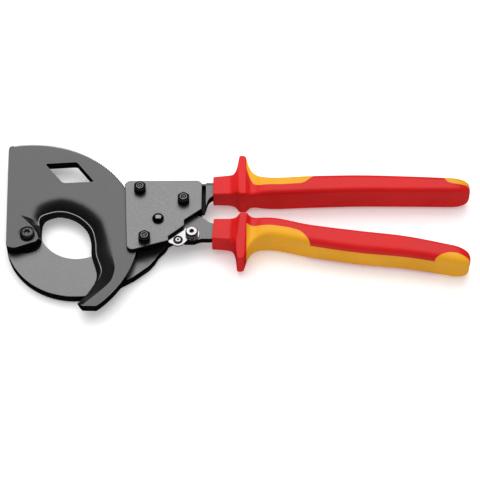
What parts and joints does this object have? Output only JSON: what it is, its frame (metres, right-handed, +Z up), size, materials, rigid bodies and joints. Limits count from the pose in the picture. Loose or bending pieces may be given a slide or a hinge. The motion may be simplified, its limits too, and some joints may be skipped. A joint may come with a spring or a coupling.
{
  "type": "ratchet cable cutter",
  "caption": "Two-handed ratchet cable cutter: a toothed hooked blade swings over a fixed hooked blade; red and yellow insulated grips with finger guards.",
  "frame": {"origin": "middle of the underside of the tool as it lies flat on its rear cover and finger guards", "axes": "+X along the tool from the blades to the handle ends, +Y towards the fixed handle side, +Z up through the front cover"},
  "size_m": [0.3148, 0.1316, 0.0232],
  "materials": {
    "blade_steel": "dark burnished, fine ground satin",
    "plate_steel": "burnished grey, fine satin",
    "handle_steel": "burnished grey forging",
    "black_steel": "black oxide, semi-gloss",
    "bright_steel": "bright plated",
    "spring_steel": "plain hardened steel",
    "red_plastic": "satin moulded",
    "yellow_plastic": "soft satin moulded"
  },
  "bodies": {
    "housing": {"fixed_blade": "blade_steel", "front_cover": "plate_steel", "rear_cover": "plate_steel", "stud_upper_left": "black_steel", "nut_upper_left": "black_steel", "stud_right": "black_steel", "nut_right": "black_steel", "stud_lower_left": "black_steel", "nut_lower_left": "black_steel", "spacer_lower_left": "spring_steel", "fixed_handle": "handle_steel", "handle_pivot_pin": "black_steel", "handle_pivot_bush": "spring_steel", "handle_spring": "spring_steel", "blade_pivot_screw": "black_steel", "holding_pawl_pin": "spring_steel", "fixed_grip": "red_plastic", "fixed_grip_inlay": "yellow_plastic"},
    "toothed_blade": {"toothed_blade": "blade_steel", "blade_bush": "spring_steel"},
    "moving_handle": {"moving_handle": "handle_steel", "moving_grip": "red_plastic", "moving_grip_inlay": "yellow_plastic", "latch_rivet": "bright_steel", "drive_pawl_pin": "spring_steel"},
    "drive_pawl": {"drive_pawl": "spring_steel", "drive_pawl_spring": "spring_steel"},
    "holding_pawl": {"holding_pawl": "spring_steel", "holding_pawl_spring": "spring_steel"},
    "latch": {"latch_lever": "bright_steel", "latch_spring_pin": "bright_steel"}
  },
  "joints": [
    {"name": "blade_swing", "type": "hinge", "parent": "housing", "child": "toothed_blade", "pos_m": [-0.14057, -0.009, 0.0084], "axis": [0, 0, 1], "range_deg": [-78, 95]},
    {"name": "handle_swing", "type": "hinge", "parent": "housing", "child": "moving_handle", "pos_m": [-0.05327, 0.0013, 0.0084], "axis": [0, 0, 1], "range_deg": [-24, 0]},
    {"name": "drive_pawl_turn", "type": "hinge", "parent": "moving_handle", "child": "drive_pawl", "pos_m": [-0.06127, -0.0017, 0.0084], "axis": [0, 0, 1], "range_deg": [0, 24]},
    {"name": "holding_pawl_lift", "type": "hinge", "parent": "housing", "child": "holding_pawl", "pos_m": [-0.05997, 0.0172, 0.0084], "axis": [0, 0, 1], "range_deg": [0, 8]},
    {"name": "latch_turn", "type": "hinge", "parent": "moving_handle", "child": "latch", "pos_m": [-0.03067, -0.0089, 0.0084], "axis": [0, 0, 1], "range_deg": [0, 20]}
  ],
  "couplings": [
    {"joint": "drive_pawl_turn", "follows": "handle_swing", "ratio": -1}
  ]
}
